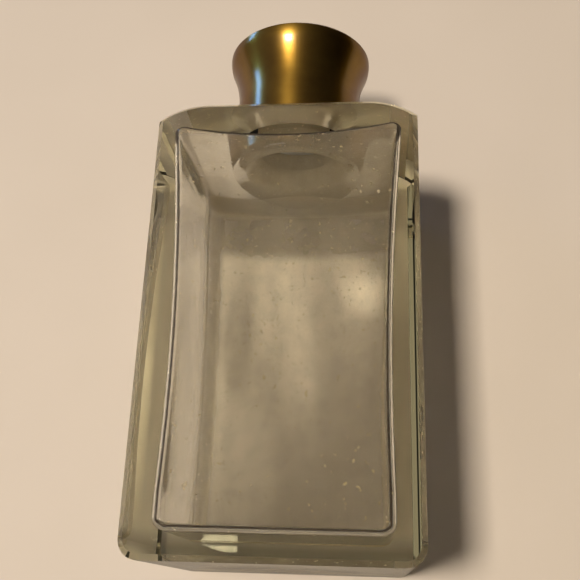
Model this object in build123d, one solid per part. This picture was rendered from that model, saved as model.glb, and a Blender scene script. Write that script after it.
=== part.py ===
"""Aftershave splash bottle: a thick square glass block with a screw-on flared metal cap.

Millimetres, +Z up. The origin is the centre of the base. The front of the block faces -Y,
and its width runs along X. Each sub-part has its own function and is written to parts/NODE.step.
"""

from build123d import *
import os
from math import sqrt

# Glass block
BODY_WIDTH = 50.0
BODY_DEPTH = 47.0
BODY_HEIGHT = 85.2
SHOULDER_RUN = 9.6          # how far in from each side the top starts to fall, seen from the front
SHOULDER_DROP = 3.4         # how far it has fallen where it meets the side, at a crisp edge
HEEL_RADIUS = 3.5           # the rounded bottom corners, seen from the front
EDGE_BEVEL = 1.0            # the polished bevel all round the front and back faces
PUNT_RADIUS = 15.0          # the shallow hollow under the base
PUNT_DEPTH = 0.6

# Hollow inside the glass
WAIST_WIDTH = 39.9          # where it is narrowest, measured at its corners
WAIST_DEPTH = 38.6
WAIST_HEIGHT = 32.0
FLARE = 0.001               # how fast each wall leaves its waist, per mm of height squared
HOLLOW_FLOOR = 4.8
HOLLOW_CEILING = 81.4       # at its corners
FLOOR_OUTLINE_WIDTH = 41.0  # the outline that trims the hollow, seen from the front
CEILING_OUTLINE_WIDTH = 45.0
FLOOR_CORNER_RADIUS = 3.0
CEILING_CORNER_RADIUS = 2.4
FLOOR_EDGE_RADIUS = 1.4     # where the floor meets the front and back walls
CEILING_EDGE_RADIUS = 0.8
CEILING_DIP = 2.1           # how much lower the ceiling is at mid width than at its corners
WALL_BOW = 0.4              # how far each side stands in at its middle
INNER_SHOULDER = 68.0       # above this height the sides bow in further, towards the ceiling
CEILING_BOW = 1.6           # how much further they stand in at the ceiling
FRONT_CORNER_RADIUS = 1.5   # vertical corners of the hollow
BACK_CORNER_RADIUS = 4.2
FOOT_HEIGHT = 12.0          # the walls are upright below this
WALLS_TOP = 84.0            # the walls are drawn past the ceiling, then cut there
SECTION_SPACING = 6.0       # between the sections that shape the walls; half this in the shoulder

# Neck finish: single-start right-hand thread
NECK_HEIGHT = 13.0
NECK_RADIUS = 10.0
NECK_BORE_RADIUS = 7.5
NECK_LIP_RADIUS = 0.6
BELL_OUTER_RADIUS = 16.0    # the round steps by which the ceiling rises to the bore
BELL_STEP_RADIUS = 13.4
BELL_STEP_RISE = 0.7
BELL_TOP_RADIUS = 10.0
BELL_TOP_RISE = 1.6
BELL_SMOOTHING = 2.0
THREAD_PITCH = 3.175
THREAD_CREST_RADIUS = 10.95
THREAD_CREST_WIDTH = 0.8
THREAD_FOOT_WIDTH = 1.9
THREAD_BURIED = 0.25        # how far a thread's foot is sunk into the wall that carries it
NECK_THREAD_TURNS = 1.5
NECK_THREAD_START = 4.2     # height of the first thread centre above the shoulder

# Cap
CAP_GAP = 0.8               # between the cap's lower edge and the shoulder
CAP_WAIST_RADIUS = 13.4
CAP_WAIST_HEIGHT = 12.5     # the straight length, above the cap's lower edge
CAP_RIM_RADIUS = 15.7
CAP_RIM_BAND = 1.8          # the upright edge of the crown
CAP_RIM_SOFTENING = 6.0     # the radius that blends the flare into it
CAP_HEIGHT = 23.9
CAP_EDGE_RADIUS = 0.3
POCKET_RADIUS = 12.2        # the straight bore that takes the insert
CORE_RADIUS = 10.5          # the narrower core above the insert, which keeps the casting light
CROWN_THICKNESS = 3.0

# Threaded insert
INSERT_RADIUS = 12.1
INSERT_ROOT_RADIUS = 11.15
INSERT_CREST_RADIUS = 10.2
INSERT_THREAD_TURNS = 1.5
INSERT_TOP_THICKNESS = 1.3
INSERT_RECESS = 0.3         # the insert's lower edge stands this far up inside the shell

# Liner and orifice reducer
LINER_RADIUS = 11.0
LINER_THICKNESS = 1.1
SEAL_GAP = 0.05
FLANGE_RADIUS = 9.3
FLANGE_THICKNESS = 0.9
PLUG_RADIUS = 7.45
PLUG_DEPTH = 8.0
PLUG_WALL = 1.0
ORIFICE_RADIUS = 2.4
SPOUT_WALL = 0.9
SPOUT_HEIGHT = 4.0

NECK_TOP = BODY_HEIGHT + NECK_HEIGHT
FLANGE_TOP = NECK_TOP + FLANGE_THICKNESS + SEAL_GAP
LINER_BOTTOM = FLANGE_TOP + SEAL_GAP
LINER_TOP = LINER_BOTTOM + LINER_THICKNESS
CAP_BOTTOM = BODY_HEIGHT + CAP_GAP
CAP_TOP = CAP_BOTTOM + CAP_HEIGHT
INSERT_BOTTOM = CAP_BOTTOM + INSERT_RECESS
INSERT_CEILING = LINER_TOP + SEAL_GAP
INSERT_TOP = INSERT_CEILING + INSERT_TOP_THICKNESS
OVERCUT = 1.0               # how far a cutting or joining solid runs past the surface it meets


def cylinder_between(radius, bottom, top):
    """An upright cylinder on the Z axis between two heights."""
    return Pos(0, 0, bottom) * Cylinder(radius, top - bottom, align=(Align.CENTER, Align.CENTER, Align.MIN))


def helical_ridge(foot_radius, crest_radius, first_centre, turns):
    """One right-hand thread ridge, from its buried foot to its crest, outside or inside a wall."""
    path = Helix(pitch=THREAD_PITCH, height=THREAD_PITCH * turns, radius=foot_radius)
    reach = crest_radius - foot_radius
    half_foot, half_crest = THREAD_FOOT_WIDTH / 2, THREAD_CREST_WIDTH / 2
    corners = (0, -half_foot), (reach, -half_crest), (reach, half_crest), (0, half_foot)
    outline = Polyline(*corners, close=True)
    section = Plane(origin=path @ 0, x_dir=(1, 0, 0), z_dir=path % 0) * make_face(outline)
    return Pos(0, 0, first_centre) * sweep(section, path=path, is_frenet=True)


def block_outline():
    """The block seen from the front: round heels, and a top that falls to a crisp edge at each side."""
    side, top_edge = BODY_WIDTH / 2, BODY_WIDTH / 2 - SHOULDER_RUN
    shoulder_radius = (SHOULDER_RUN**2 + SHOULDER_DROP**2) / (2 * SHOULDER_DROP)
    half_run = SHOULDER_RUN / 2
    mid_height = BODY_HEIGHT - shoulder_radius + sqrt(shoulder_radius**2 - half_run**2)
    shoulder_foot = BODY_HEIGHT - SHOULDER_DROP
    with BuildSketch(Plane.XZ) as front_view:
        with BuildLine():
            Line((0, 0), (side, 0))
            Line((side, 0), (side, shoulder_foot))
            ThreePointArc((side, shoulder_foot), (top_edge + half_run, mid_height), (top_edge, BODY_HEIGHT))
            Line((top_edge, BODY_HEIGHT), (0, BODY_HEIGHT))
            Line((0, BODY_HEIGHT), (0, 0))
        make_face()
        mirror(about=Plane.YZ)
        heels = front_view.vertices().group_by(Axis.Y)[0].filter_by(lambda vertex: abs(vertex.X) > side / 2)
        fillet(heels, HEEL_RADIUS)
    return front_view.sketch


def glass_block():
    """The solid outside of the block, before it is hollowed."""
    block = extrude(block_outline(), amount=BODY_DEPTH / 2, both=True)
    front_to_back = block.faces().sort_by(Axis.Y)
    block = chamfer(front_to_back[0].edges() + front_to_back[-1].edges(), EDGE_BEVEL)
    punt_sphere = (PUNT_RADIUS**2 + PUNT_DEPTH**2) / (2 * PUNT_DEPTH)
    return block - Pos(0, 0, PUNT_DEPTH - punt_sphere) * Sphere(punt_sphere)


def hollow_section(height):
    """The hollow's plan at one height: round corners, and sides that bow in at their middle."""
    flare = FLARE * (height - WAIST_HEIGHT) ** 2
    half_width, half_depth = WAIST_WIDTH / 2 + flare, WAIST_DEPTH / 2 + flare
    rise = max(0.0, (height - INNER_SHOULDER) / (HOLLOW_CEILING - INNER_SHOULDER))
    bow = WALL_BOW + CEILING_BOW * rise**3
    with BuildSketch(Plane.XY.offset(height)) as plan:
        with BuildLine():
            for side in (-1, 1):
                wide, deep = side * half_width, side * half_depth
                ThreePointArc((-half_width, deep), (0, deep - side * bow), (half_width, deep))
                ThreePointArc((wide, -half_depth), (wide - side * bow, 0), (wide, half_depth))
        make_face()
        fillet(plan.vertices().group_by(Axis.Y)[0], FRONT_CORNER_RADIUS)
        fillet(plan.vertices().group_by(Axis.Y)[-1], BACK_CORNER_RADIUS)
    return plan.sketch


def section_heights():
    """Heights from the foot to above the ceiling, closer together in the shoulder."""
    steps_below = round((INNER_SHOULDER - FOOT_HEIGHT) / SECTION_SPACING)
    steps_above = round(2 * (WALLS_TOP - INNER_SHOULDER) / SECTION_SPACING)
    rise_below = (INNER_SHOULDER - FOOT_HEIGHT) / steps_below
    rise_above = (WALLS_TOP - INNER_SHOULDER) / steps_above
    below = [FOOT_HEIGHT + rise_below * step for step in range(steps_below)]
    above = [INNER_SHOULDER + rise_above * step for step in range(steps_above + 1)]
    return below + above


def front_trim():
    """The hollow's outline seen from the front: round corners and a dipped ceiling, as a solid."""
    floor_side, ceiling_side = FLOOR_OUTLINE_WIDTH / 2, CEILING_OUTLINE_WIDTH / 2
    upper_left, upper_right = (-ceiling_side, HOLLOW_CEILING), (ceiling_side, HOLLOW_CEILING)
    with BuildSketch(Plane.XZ) as front_view:
        with BuildLine():
            Polyline(upper_left, (-floor_side, HOLLOW_FLOOR), (floor_side, HOLLOW_FLOOR), upper_right)
            ThreePointArc(upper_right, (0, HOLLOW_CEILING - CEILING_DIP), upper_left)
        make_face()
        fillet(front_view.vertices().group_by(Axis.Y)[0], FLOOR_CORNER_RADIUS)
        fillet(front_view.vertices().group_by(Axis.Y)[-1], CEILING_CORNER_RADIUS)
    return extrude(front_view.sketch, amount=BODY_DEPTH / 2, both=True)


def front_and_back(face):
    """The edges of a level face that lie towards the front or the back."""
    return face.edges().filter_by(lambda edge: abs(edge.center().Y) > WAIST_DEPTH / 4)


def bell_and_bore():
    """The round, softly stepped rise from the ceiling into the bore, and the bore itself."""
    foot = HOLLOW_CEILING - CEILING_DIP
    with BuildSketch(Plane.XZ) as section:
        with BuildLine():
            Polyline(
                (0, foot - OVERCUT),
                (BELL_OUTER_RADIUS, foot - OVERCUT),
                (BELL_OUTER_RADIUS, foot),
                (BELL_STEP_RADIUS, foot + BELL_STEP_RISE),
                (BELL_TOP_RADIUS, foot + BELL_TOP_RISE),
                (NECK_BORE_RADIUS, BODY_HEIGHT),
                (NECK_BORE_RADIUS, NECK_TOP),
                (0, NECK_TOP),
                close=True,
            )
        make_face()
        steps = (BELL_STEP_RADIUS, foot + BELL_STEP_RISE), (BELL_TOP_RADIUS, foot + BELL_TOP_RISE)
        fillet([section.vertices().sort_by_distance(step)[0] for step in steps], BELL_SMOOTHING)
    return revolve(section.sketch, Axis.Z)


def hollow():
    """The space for the lotion, narrowest at its waist and flaring to the shoulder, and the neck's bore."""
    foot = extrude(hollow_section(FOOT_HEIGHT), HOLLOW_FLOOR - FOOT_HEIGHT)
    walls = loft([hollow_section(height) for height in section_heights()])
    chamber = (foot + walls) & front_trim()
    chamber = fillet(front_and_back(chamber.faces().sort_by(Axis.Z)[0]), FLOOR_EDGE_RADIUS)
    chamber = fillet(front_and_back(chamber.faces().sort_by(Axis.Z)[-1]), CEILING_EDGE_RADIUS)
    return chamber + bell_and_bore()


def glass_bottle():
    """The block with its threaded neck, hollowed out."""
    neck = cylinder_between(NECK_RADIUS, BODY_HEIGHT - OVERCUT, NECK_TOP)
    neck = fillet(neck.edges().sort_by(Axis.Z)[-1], NECK_LIP_RADIUS)
    ridge = helical_ridge(
        NECK_RADIUS - THREAD_BURIED, THREAD_CREST_RADIUS, BODY_HEIGHT + NECK_THREAD_START, NECK_THREAD_TURNS
    )
    return glass_block() + neck - hollow() + ridge


def orifice_reducer():
    """The soft plug in the neck, which slows the pour through one small hole."""
    bottom, flange_bottom = NECK_TOP - PLUG_DEPTH, NECK_TOP + SEAL_GAP
    plug = cylinder_between(PLUG_RADIUS, bottom, flange_bottom)
    plug += cylinder_between(FLANGE_RADIUS, flange_bottom, FLANGE_TOP)
    plug -= cylinder_between(PLUG_RADIUS - PLUG_WALL, bottom + PLUG_WALL, FLANGE_TOP)
    plug += cylinder_between(ORIFICE_RADIUS + SPOUT_WALL, bottom, bottom + PLUG_WALL + SPOUT_HEIGHT)
    return plug - cylinder_between(ORIFICE_RADIUS, bottom, FLANGE_TOP)


def cap_outline():
    """Half of the cap's outside in section: straight at its foot, then a hollow curve out to the crown."""
    waist_top, rim_bottom = CAP_BOTTOM + CAP_WAIST_HEIGHT, CAP_TOP - CAP_RIM_BAND
    with BuildSketch(Plane.XZ) as section:
        with BuildLine():
            Line((0, CAP_BOTTOM), (CAP_WAIST_RADIUS, CAP_BOTTOM))
            waist = Line((CAP_WAIST_RADIUS, CAP_BOTTOM), (CAP_WAIST_RADIUS, waist_top))
            TangentArc((CAP_WAIST_RADIUS, waist_top), (CAP_RIM_RADIUS, rim_bottom), tangent=waist % 1)
            Line((CAP_RIM_RADIUS, rim_bottom), (CAP_RIM_RADIUS, CAP_TOP))
            Line((CAP_RIM_RADIUS, CAP_TOP), (0, CAP_TOP))
            Line((0, CAP_TOP), (0, CAP_BOTTOM))
        make_face()
        fillet(section.vertices().sort_by_distance((CAP_RIM_RADIUS, rim_bottom))[0], CAP_RIM_SOFTENING)
    return section.sketch


def cap_shell():
    """The flared metal shell, bored for the insert and cored above it."""
    shell = revolve(cap_outline(), Axis.Z)
    rims = shell.edges().filter_by(GeomType.CIRCLE)
    shell = fillet(rims.sort_by(Axis.Z)[-1], CAP_EDGE_RADIUS)
    shell = fillet(shell.edges().filter_by(GeomType.CIRCLE).sort_by(Axis.Z)[0], CAP_EDGE_RADIUS)
    shell -= cylinder_between(POCKET_RADIUS, CAP_BOTTOM, INSERT_TOP + SEAL_GAP)
    return shell - cylinder_between(CORE_RADIUS, CAP_BOTTOM, CAP_TOP - CROWN_THICKNESS)


def cap_insert():
    """The plastic insert fixed in the shell, which carries the inside thread and backs the liner."""
    insert = cylinder_between(INSERT_RADIUS, INSERT_BOTTOM, INSERT_TOP)
    insert -= cylinder_between(INSERT_ROOT_RADIUS, INSERT_BOTTOM, INSERT_CEILING)
    first_centre = BODY_HEIGHT + NECK_THREAD_START - THREAD_PITCH / 2
    return insert + helical_ridge(
        INSERT_ROOT_RADIUS + THREAD_BURIED, INSERT_CREST_RADIUS, first_centre, INSERT_THREAD_TURNS
    )


def cap_liner():
    """The foam disc that seals against the reducer's flange."""
    return cylinder_between(LINER_RADIUS, LINER_BOTTOM, LINER_TOP)


def main():
    os.makedirs("parts", exist_ok=True)
    for make in (glass_bottle, orifice_reducer, cap_shell, cap_insert, cap_liner):
        export_step(make(), f"parts/{make.__name__}.step")


main()
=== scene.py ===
"""The looks of the aftershave bottle: clear thick glass, a hazy hollow and an aged brass cap."""

import math

import bpy
from mathutils import Matrix, Vector


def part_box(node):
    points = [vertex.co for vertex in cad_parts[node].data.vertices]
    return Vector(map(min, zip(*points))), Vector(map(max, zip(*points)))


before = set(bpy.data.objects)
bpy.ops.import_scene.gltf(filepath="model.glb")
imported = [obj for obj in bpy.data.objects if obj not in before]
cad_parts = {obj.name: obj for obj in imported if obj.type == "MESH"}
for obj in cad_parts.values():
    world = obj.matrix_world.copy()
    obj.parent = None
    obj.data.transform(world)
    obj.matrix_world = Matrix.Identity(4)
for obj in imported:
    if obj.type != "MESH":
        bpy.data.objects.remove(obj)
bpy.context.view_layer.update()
MM = 0.001

# Camera, in the part's own frame
CAMERA_PLACE = Vector((16.8, -160.3, -5.7)) * MM
CAMERA_AZIMUTH = -6.2       # degrees; 0 looks along +Y, and positive turns towards +X
CAMERA_ELEVATION = 20.62    # degrees upwards
CAMERA_ROLL = 2.0           # degrees
CAMERA_LENS = 51.7          # mm, on a sensor SENSOR_WIDTH wide
SENSOR_WIDTH = 36           # mm

# Lights: azimuth turns from the front, -Y, towards the left, -X; elevation rises towards +Z
LAMP_AZIMUTH, LAMP_ELEVATION, LAMP_DISTANCE = 14.0, -6.0, 0.95
LAMP_SIZE = (0.14, 0.14)
LAMP_POWER = 10.5
LAMP_COLOR = (1.0, 0.90, 0.78)
WINDOW_AZIMUTH, WINDOW_ELEVATION, WINDOW_DISTANCE = 78.0, 36.0, 0.70
WINDOW_SIZE = (0.10, 0.22)
WINDOW_POWER = 1.1
WINDOW_COLOR = (0.16, 0.40, 1.0)
ROOM_COLOR = (1.0, 0.86, 0.66, 1)
ROOM_LEFT, ROOM_RIGHT = 0.27, 0.00      # how bright the room is on each side
SEEN_COLOR = (0.68, 0.60, 0.50, 1)      # the room where the camera looks straight at it

# Places on the bottle
block_low, block_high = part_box("glass_bottle")
cap_low, cap_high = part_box("cap_shell")
flange_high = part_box("orifice_reducer")[1]
MIDDLE = Vector((0, 0, cap_high.z / 2))
SKIN = 1.5 * MM             # a point deeper in the block than this lies on the hollow
WALL = 5.5 * MM             # roughly how thick the glass is round the hollow
BORE = flange_high.x - MM   # between the radius of the neck's bore and that of its outside
HOLLOW_LEFT = block_low.x + WALL
HALF_DEPTH = 0.5 * block_high.y         # halfway from the axis to the front or the back face
INNER_SHOULDER = 0.8 * cap_low.z        # where the hollow starts to close in towards the neck
CEILING = cap_low.z - WALL              # the top of the hollow, under the neck
# the middle of the painted glow on the floor, seen through the glass
PAINTED_GLOW_PLACE = Vector((0.58 * block_high.x, block_high.y, 0.89 * INNER_SHOULDER))

# Glass
GLASS_IOR = 1.5
GLASS_BODY, GLASS_DENSITY = (0.90, 0.87, 0.52, 1), 11.5
RIPPLE_DEPTH, RIPPLE_STRENGTH = 0.16 * MM, 0.35

# Dried film on the wall of the hollow: its tones, and how much of the wall each part of it hides
FILM_TONE = (0.78, 0.66, 0.44, 1)
TIDE_TONE = (0.62, 0.54, 0.37, 1)
EVEN_HAZE = 0.09
PATCH_HAZE = 0.14
MOTTLE_HAZE = 0.07
TIDE_HAZE = 0.22
CEILING_HAZE = 0.45
SPECK_HAZE = 0.5
BACK_CORNER_HAZE = 0.25
# painted shade: a dark diffuse line along the hollow's front edges stands in for the dark edge the glass
# shows there
PAINTED_EDGE_SHADE_TONE = (0.045, 0.032, 0.026, 1)
PAINTED_EDGE_SHADE_COVER = 0.9

# The tide mark's edge: how much higher it is at the sides, how far it wanders, and how soft it is
TIDE_RISE = 4 * MM
TIDE_WANDER = 2.5 * MM
TIDE_BLUR = 2.2 * MM

# The thin painted shade line lies where the rounded front edges face the front this much (1 is square on)
LINE_INNER, LINE_INNER_DROP, LINE_INNER_BLUR = 0.81, 0.5, 0.08
LINE_OUTER, LINE_OUTER_DROP, LINE_OUTER_BLUR = 0.975, 0.05, 0.03

# The hollow is hazier where it faces the back less than the first of these, and not above the second
BACK_HAZY, BACK_CLEAR = 0.85, 0.98

# Brass
NEW_BRASS, OLD_BRASS = (0.25, 0.150, 0.024, 1), (0.17, 0.092, 0.013, 1)
WORN_BRASS = (0.44, 0.30, 0.10, 1)
GRAZING_TINT = (0.28, 0.22, 0.15, 1)
TURNING_STRETCH = 60        # the turning marks are this much finer along the axis than round it

# Floor, with painted light on it (an emission standing in for the light that the glass gathers there) and
# painted shade behind the foot
FLOOR_HALF = 0.9
FLOOR_GAP = 0.02 * MM
FLOOR_DARKER, FLOOR_LIGHTER = (0.54, 0.475, 0.40, 1), (0.59, 0.52, 0.445, 1)
# painted shade: the floor's darker tone behind the bottle's foot, seen only through the glass
FOOT_PAINTED_SHADE_TONE, FOOT_PAINTED_SHADE_COVER = (0.10, 0.09, 0.07, 1), 0.65
PAINTED_GATHERED_COLOR, PAINTED_GATHERED_STRENGTH = (1.0, 0.80, 0.50, 1), 0.50
STREAK_SHARE, EVEN_SHARE = 0.95, 0.32
GLOW_SHARE, TOP_SHARE = 0.9, 0.40
ABOVE_SHOULDER_SHARE = 0.25
UPPER_LEFT_SLOPE = 1.5      # the streaks fade across a line this steep, from the second height to the first
UPPER_LEFT_FROM, UPPER_LEFT_TO = 14 * MM, 66 * MM
GLOW_CORE, GLOW_EDGE = 1.5 * MM, 7 * MM


class Graph:
    """A material's node tree, with short ways to add and join nodes."""

    def __init__(self, name):
        self.material = bpy.data.materials.new(name)
        self.material.use_nodes = True
        self.tree = self.material.node_tree
        self.tree.nodes.clear()

    def node(self, kind, inputs=None, **settings):
        """A new node; each input takes a value or a link from another node's socket."""
        made = self.tree.nodes.new(kind)
        for key, value in settings.items():
            setattr(made, key, value)
        for key, value in (inputs or {}).items():
            if isinstance(value, bpy.types.NodeSocket):
                self.tree.links.new(value, made.inputs[key])
            else:
                made.inputs[key].default_value = value
        return made

    def math(self, operation, first, second=0.0):
        return self.node("ShaderNodeMath", {0: first, 1: second}, operation=operation).outputs[0]

    def product(self, first, *others):
        for other in others:
            first = self.math("MULTIPLY", first, other)
        return first

    def weighted_sum(self, start, *terms):
        """start plus every mask times its weight."""
        for mask, weight in terms:
            start = self.math("ADD", start, self.math("MULTIPLY", mask, weight))
        return start

    def ramp(self, value, low, high):
        """0 below low, 1 above high."""
        return self.node("ShaderNodeMapRange", {"Value": value, "From Min": low, "From Max": high}).outputs[0]

    def fall(self, value, low, high):
        """1 below low, 0 above high."""
        return self.math("SUBTRACT", 1.0, self.ramp(value, low, high))

    def mix_color(self, factor, first, second):
        inputs = {"Factor": factor, 6: first, 7: second}
        return self.node("ShaderNodeMix", inputs, data_type="RGBA").outputs[2]

    def mix_shader(self, factor, first, second):
        return self.node("ShaderNodeMixShader", {0: factor, 1: first, 2: second}).outputs[0]

    def noise(self, scale, detail=3.0, vector=None):
        """Noise whose scale is in features per metre."""
        inputs = {"Vector": vector or self.position(), "Scale": scale, "Detail": detail}
        return self.node("ShaderNodeTexNoise", inputs).outputs["Fac"]

    def bump(self, height, distance, strength):
        inputs = {"Height": height, "Distance": distance, "Strength": strength}
        return self.node("ShaderNodeBump", inputs).outputs[0]

    def position(self):
        return self.node("ShaderNodeTexCoord").outputs["Object"]

    def stretched(self, x, y, z):
        """The position with each axis scaled, for noise that is finer or longer one way."""
        return self.node("ShaderNodeMapping", {"Vector": self.position(), "Scale": (x, y, z)}).outputs[0]

    def place(self):
        """The position as separate X, Y and Z."""
        return self.node("ShaderNodeSeparateXYZ", {0: self.position()}).outputs

    def finish(self, surface, volume=None):
        output = self.node("ShaderNodeOutputMaterial", {"Surface": surface})
        if volume is not None:
            self.tree.links.new(volume, output.inputs["Volume"])
        return self.material


def inside_mask(g, place):
    """1 on the walls of the hollow and the bore, 0 on the outside of the block and the neck."""
    near_x = g.math("LESS_THAN", g.math("ABSOLUTE", place[0]), block_high.x - SKIN)
    near_y = g.math("LESS_THAN", g.math("ABSOLUTE", place[1]), block_high.y - SKIN)
    above_floor = g.math("GREATER_THAN", place[2], SKIN)
    below_top = g.math("LESS_THAN", place[2], cap_low.z - SKIN)
    chamber = g.product(near_x, near_y, above_floor, below_top)
    level = g.node("ShaderNodeCombineXYZ", {0: place[0], 1: place[1]}).outputs[0]
    from_axis = g.node("ShaderNodeVectorMath", {0: level}, operation="LENGTH").outputs["Value"]
    bore = g.product(g.math("LESS_THAN", from_axis, BORE), g.math("GREATER_THAN", place[2], CEILING))
    return g.math("MAXIMUM", chamber, bore)


def front_line(g, place, facing):
    """Where the painted shade goes: a thin dark line round the hollow's rounded front edges, which is wider
    along the ceiling.
    """
    near_ceiling = g.ramp(place[2], INNER_SHOULDER, CEILING)
    outer = g.math("SUBTRACT", LINE_OUTER, g.math("MULTIPLY", near_ceiling, LINE_OUTER_DROP))
    turned = g.fall(facing, g.math("SUBTRACT", outer, LINE_OUTER_BLUR), outer)
    closing = g.ramp(place[2], CEILING - 4 * MM, CEILING - 2 * MM)
    inner = g.math("SUBTRACT", LINE_INNER, g.math("MULTIPLY", closing, LINE_INNER_DROP))
    not_side_on = g.ramp(facing, inner, g.math("ADD", inner, LINE_INNER_BLUR))
    return g.product(turned, not_side_on, g.math("LESS_THAN", place[1], -HALF_DEPTH))


def back_corners(g, place, facing):
    """The hollow's rounded back edges."""
    return g.product(g.fall(facing, BACK_HAZY, BACK_CLEAR), g.math("GREATER_THAN", place[1], HALF_DEPTH))


def tide_mask(g, place):
    """1 where lotion has dried behind the shoulder, with an edge that dips at mid width."""
    across = g.math("DIVIDE", place[0], block_high.x)
    lift = g.product(across, across, TIDE_RISE)
    wander = g.math("MULTIPLY", g.noise(60.0, 2.0), TIDE_WANDER)
    height = g.math("ADD", g.math("SUBTRACT", place[2], lift), wander)
    above = g.ramp(height, INNER_SHOULDER, INNER_SHOULDER + TIDE_BLUR)
    return g.product(above, g.ramp(place[1], 0.0, HALF_DEPTH))


def dried_film(g, tone):
    """A thin matt film that sends half of its light back and lets half through."""
    back = g.node("ShaderNodeBsdfDiffuse", {"Color": tone}).outputs[0]
    onward = g.node("ShaderNodeBsdfTranslucent", {"Color": tone}).outputs[0]
    return g.mix_shader(0.5, back, onward)


def glass_material():
    """Clear flint glass with a faint warm green body; the hollow carries dried haze and specks, and a painted
    dark line of shade along its front edges.
    """
    g = Graph("glass")
    place = g.place()
    normal = g.node("ShaderNodeNewGeometry").outputs["Normal"]
    facing = g.math("ABSOLUTE", g.node("ShaderNodeSeparateXYZ", {0: normal}).outputs[1])
    inside = inside_mask(g, place)
    tide = tide_mask(g, place)
    ripple = g.bump(g.product(g.noise(70.0, 1.5), inside), RIPPLE_DEPTH, RIPPLE_STRENGTH)
    glass = {"Color": (1, 1, 1, 1), "Roughness": 0.0, "IOR": GLASS_IOR, "Normal": ripple}
    clear = g.node("ShaderNodeBsdfGlass", glass).outputs[0]
    haze = g.weighted_sum(
        EVEN_HAZE,
        (g.ramp(g.noise(60.0, 4.0), 0.30, 0.75), PATCH_HAZE),
        (g.ramp(g.noise(300.0, 3.0), 0.45, 0.70), MOTTLE_HAZE),
        (tide, TIDE_HAZE),
        (g.ramp(place[2], CEILING - 2 * MM, CEILING), CEILING_HAZE),
        (g.ramp(g.noise(1100.0, 2.0), 0.67, 0.72), SPECK_HAZE),
        (back_corners(g, place, facing), BACK_CORNER_HAZE),
    )
    film = dried_film(g, g.mix_color(tide, FILM_TONE, TIDE_TONE))
    surface = g.mix_shader(g.product(haze, inside), clear, film)
    # painted shade: the dark line along the hollow's front edges
    painted_edge_shade = g.node("ShaderNodeBsdfDiffuse", {"Color": PAINTED_EDGE_SHADE_TONE}).outputs[0]
    edge_shade_cover = g.product(front_line(g, place, facing), inside, PAINTED_EDGE_SHADE_COVER)
    surface = g.mix_shader(edge_shade_cover, surface, painted_edge_shade)
    absorbing = {"Color": GLASS_BODY, "Density": GLASS_DENSITY}
    return g.finish(surface, g.node("ShaderNodeVolumeAbsorption", absorbing).outputs[0])


def brass_material():
    """Dark aged brass under clear lacquer: turning marks round the axis, patina in patches, a worn rim."""
    g = Graph("aged_brass")
    marks = g.noise(110.0, 4.0, g.stretched(1, 1, TURNING_STRETCH))
    patina = g.ramp(g.noise(150.0, 5.0), 0.30, 0.75)
    worn = g.ramp(g.node("ShaderNodeNewGeometry").outputs["Pointiness"], 0.53, 0.62)
    metal = g.node(
        "ShaderNodeBsdfPrincipled",
        {
            "Base Color": g.mix_color(worn, g.mix_color(patina, NEW_BRASS, OLD_BRASS), WORN_BRASS),
            "Metallic": 1.0,
            "Roughness": g.weighted_sum(0.30, (marks, 0.10)),
            "Specular Tint": GRAZING_TINT,
            "Anisotropic": 0.70,
            "Anisotropic Rotation": 0.25,
            "Tangent": g.node("ShaderNodeTangent", direction_type="RADIAL", axis="Z").outputs[0],
            "Normal": g.bump(marks, 0.01 * MM, 0.4),
            "Coat Weight": 0.7,
            "Coat Roughness": 0.16,
            "Coat IOR": 1.5,
        },
    ).outputs[0]
    return g.finish(metal)


def plastic_material(name, color, roughness, grain_scale, clearness=0.0):
    """Moulded plastic or foam, with a fine grain and a little shade variation; natural plastic is clearer."""
    g = Graph(name)
    grain = g.noise(grain_scale, 3.0)
    darker = tuple(channel * 0.9 for channel in color)
    plastic = g.node(
        "ShaderNodeBsdfPrincipled",
        {
            "Base Color": g.mix_color(grain, (*color, 1), (*darker, 1)),
            "Roughness": roughness,
            "Transmission Weight": clearness,
            "Subsurface Weight": 0.1,
            "Subsurface Radius": (MM, MM, MM),
            "Normal": g.bump(grain, 0.03 * MM, 0.4),
        },
    ).outputs[0]
    return g.finish(plastic)


def dress(node, material):
    """Gives every slot of a CAD node this material."""
    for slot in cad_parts[node].material_slots:
        slot.material = material


def through_glass(g):
    """1 for a ray that clear glass has passed on or mirrored, 0 for one straight from the camera."""
    path = g.node("ShaderNodeLightPath")
    not_direct = g.math("SUBTRACT", 1.0, path.outputs["Is Camera Ray"])
    return g.product(path.outputs["Is Singular Ray"], not_direct)


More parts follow.
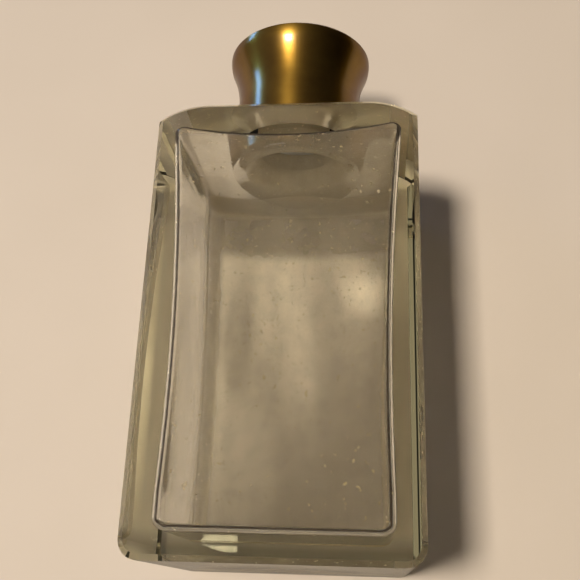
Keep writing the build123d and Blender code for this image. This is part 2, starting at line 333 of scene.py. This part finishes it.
def painted_gathered_light(g):
    """Painted light: an emission on the floor, seen only through the glass, standing in for light the glass
    gathers there:
    soft streaks, none left of the hollow and less low on the right, one warm glow on the right below the
    shoulder, and a dim band behind the solid top."""
    across, _, height = g.place()
    slope = g.math("SUBTRACT", height, g.math("MULTIPLY", across, UPPER_LEFT_SLOPE))
    upper_left = g.ramp(slope, UPPER_LEFT_FROM, UPPER_LEFT_TO)
    streaks = g.ramp(g.noise(130.0, 2.0, g.stretched(1, 1, 0.25)), 0.32, 0.70)
    gathered = g.product(upper_left, g.weighted_sum(EVEN_SHARE, (streaks, STREAK_SHARE)))
    from_glow = g.node("ShaderNodeVectorMath", {0: g.position(), 1: PAINTED_GLOW_PLACE}, operation="DISTANCE")
    glow = g.fall(from_glow.outputs["Value"], GLOW_CORE, GLOW_EDGE)
    gathered = g.weighted_sum(gathered, (glow, GLOW_SHARE))
    below_shoulder = g.fall(height, INNER_SHOULDER, INNER_SHOULDER + 3 * MM)
    fade = g.weighted_sum(ABOVE_SHOULDER_SHARE, (below_shoulder, 1 - ABOVE_SHOULDER_SHARE))
    behind_hollow = g.ramp(across, HOLLOW_LEFT - MM, HOLLOW_LEFT + MM)
    gathered = g.product(gathered, fade, behind_hollow, g.ramp(height, WALL, 2 * WALL))
    gathered = g.weighted_sum(gathered, (g.ramp(height, CEILING, CEILING + MM), TOP_SHARE))
    # painted light: the emission only shows for rays that come through the glass
    strength = g.product(gathered, through_glass(g), PAINTED_GATHERED_STRENGTH)
    return g.node("ShaderNodeEmission", {"Color": PAINTED_GATHERED_COLOR, "Strength": strength}).outputs[0]


def floor_material():
    """A pale matt floor with painted shade behind the bottle's foot and painted light, both seen only through
    the glass; it is clear when seen from its back.
    """
    g = Graph("floor")
    tone = g.mix_color(g.noise(25.0, 2.0), FLOOR_DARKER, FLOOR_LIGHTER)
    # painted shade behind the foot, only for rays that come through the glass
    under_foot = g.fall(g.place()[2], 0.7 * WALL, 1.4 * WALL)
    shaded = g.product(under_foot, through_glass(g), FOOT_PAINTED_SHADE_COVER)
    pale = g.node("ShaderNodeBsdfDiffuse", {"Color": g.mix_color(shaded, tone, FOOT_PAINTED_SHADE_TONE)}).outputs[0]
    lit = g.node("ShaderNodeAddShader", {0: pale, 1: painted_gathered_light(g)}).outputs[0]
    unseen = g.node("ShaderNodeBsdfTransparent").outputs[0]
    return g.finish(g.mix_shader(g.node("ShaderNodeNewGeometry").outputs["Backfacing"], lit, unseen))


def floor():
    """The surface the bottle lies on, behind its back face."""
    half, y = FLOOR_HALF, block_high.y + FLOOR_GAP
    corners = [(-half, y, -half), (half, y, -half), (half, y, half), (-half, y, half)]
    mesh = bpy.data.meshes.new("floor")
    mesh.from_pydata(corners, [], [(0, 1, 2, 3)])
    mesh.materials.append(floor_material())
    made = bpy.data.objects.new("floor", mesh)
    bpy.context.scene.collection.objects.link(made)


def direction(azimuth, elevation):
    """The direction at these angles: azimuth turns from -Y towards -X, elevation rises towards +Z."""
    azimuth, elevation = math.radians(azimuth), math.radians(elevation)
    level = math.cos(elevation)
    return Vector((-math.sin(azimuth) * level, -math.cos(azimuth) * level, math.sin(elevation)))


def area_light(name, place, size, power, color):
    """A soft rectangular light aimed at the middle of the bottle."""
    data = bpy.data.lights.new(name, "AREA")
    data.shape = "RECTANGLE"
    data.size, data.size_y = size
    data.energy = power
    data.color = color
    made = bpy.data.objects.new(name, data)
    made.location = place
    made.rotation_euler = (MIDDLE - place).to_track_quat("-Z", "Y").to_euler()
    bpy.context.scene.collection.objects.link(made)


def lights():
    """A warm lamp low in front and a cool window high on the left."""
    lamp = MIDDLE + LAMP_DISTANCE * direction(LAMP_AZIMUTH, LAMP_ELEVATION)
    area_light("lamp", lamp, LAMP_SIZE, LAMP_POWER, LAMP_COLOR)
    window = MIDDLE + WINDOW_DISTANCE * direction(WINDOW_AZIMUTH, WINDOW_ELEVATION)
    area_light("window", window, WINDOW_SIZE, WINDOW_POWER, WINDOW_COLOR)


def room():
    """A dim warm room, brighter on the left, that looks pale where the camera sees it directly."""
    world = bpy.data.worlds.new("room")
    bpy.context.scene.world = world
    world.use_nodes = True
    tree = world.node_tree
    around = tree.nodes["Background"]
    around.inputs["Color"].default_value = ROOM_COLOR
    split = tree.nodes.new("ShaderNodeSeparateXYZ")
    tree.links.new(tree.nodes.new("ShaderNodeTexCoord").outputs["Generated"], split.inputs[0])
    side = tree.nodes.new("ShaderNodeMapRange")
    side.inputs["From Min"].default_value = -1.0
    side.inputs["To Min"].default_value = ROOM_LEFT
    side.inputs["To Max"].default_value = ROOM_RIGHT
    tree.links.new(split.outputs[0], side.inputs["Value"])
    tree.links.new(side.outputs[0], around.inputs["Strength"])
    seen = tree.nodes.new("ShaderNodeBackground")
    seen.inputs["Color"].default_value = SEEN_COLOR
    path = tree.nodes.new("ShaderNodeLightPath")
    choose = tree.nodes.new("ShaderNodeMixShader")
    tree.links.new(path.outputs["Is Camera Ray"], choose.inputs[0])
    tree.links.new(around.outputs[0], choose.inputs[1])
    tree.links.new(seen.outputs[0], choose.inputs[2])
    tree.links.new(choose.outputs[0], tree.nodes["World Output"].inputs["Surface"])


def camera():
    """The camera, from its place, aim and roll."""
    azimuth, elevation = math.radians(CAMERA_AZIMUTH), math.radians(CAMERA_ELEVATION)
    level = math.cos(elevation)
    ahead = Vector((math.sin(azimuth) * level, math.cos(azimuth) * level, math.sin(elevation)))
    right = ahead.cross(Vector((0, 0, 1))).normalized()
    roll = Matrix.Rotation(math.radians(CAMERA_ROLL), 3, -ahead)
    right = roll @ right
    turn = Matrix((right, right.cross(ahead), -ahead)).transposed()
    data = bpy.data.cameras.new("camera")
    data.sensor_width = SENSOR_WIDTH
    data.lens = CAMERA_LENS
    data.clip_start = MM
    made = bpy.data.objects.new("camera", data)
    made.matrix_world = Matrix.Translation(CAMERA_PLACE) @ turn.to_4x4()
    bpy.context.scene.collection.objects.link(made)
    bpy.context.scene.camera = made


dress("glass_bottle", glass_material())
dress("cap_shell", brass_material())
dress("orifice_reducer", plastic_material("reducer_plastic", (0.86, 0.86, 0.83), 0.35, 900.0, 0.7))
dress("cap_insert", plastic_material("insert_plastic", (0.82, 0.81, 0.77), 0.45, 700.0))
dress("cap_liner", plastic_material("liner_foam", (0.90, 0.90, 0.88), 0.80, 2200.0))
floor()
room()
lights()
camera()
bpy.context.scene.view_settings.view_transform = "Standard"
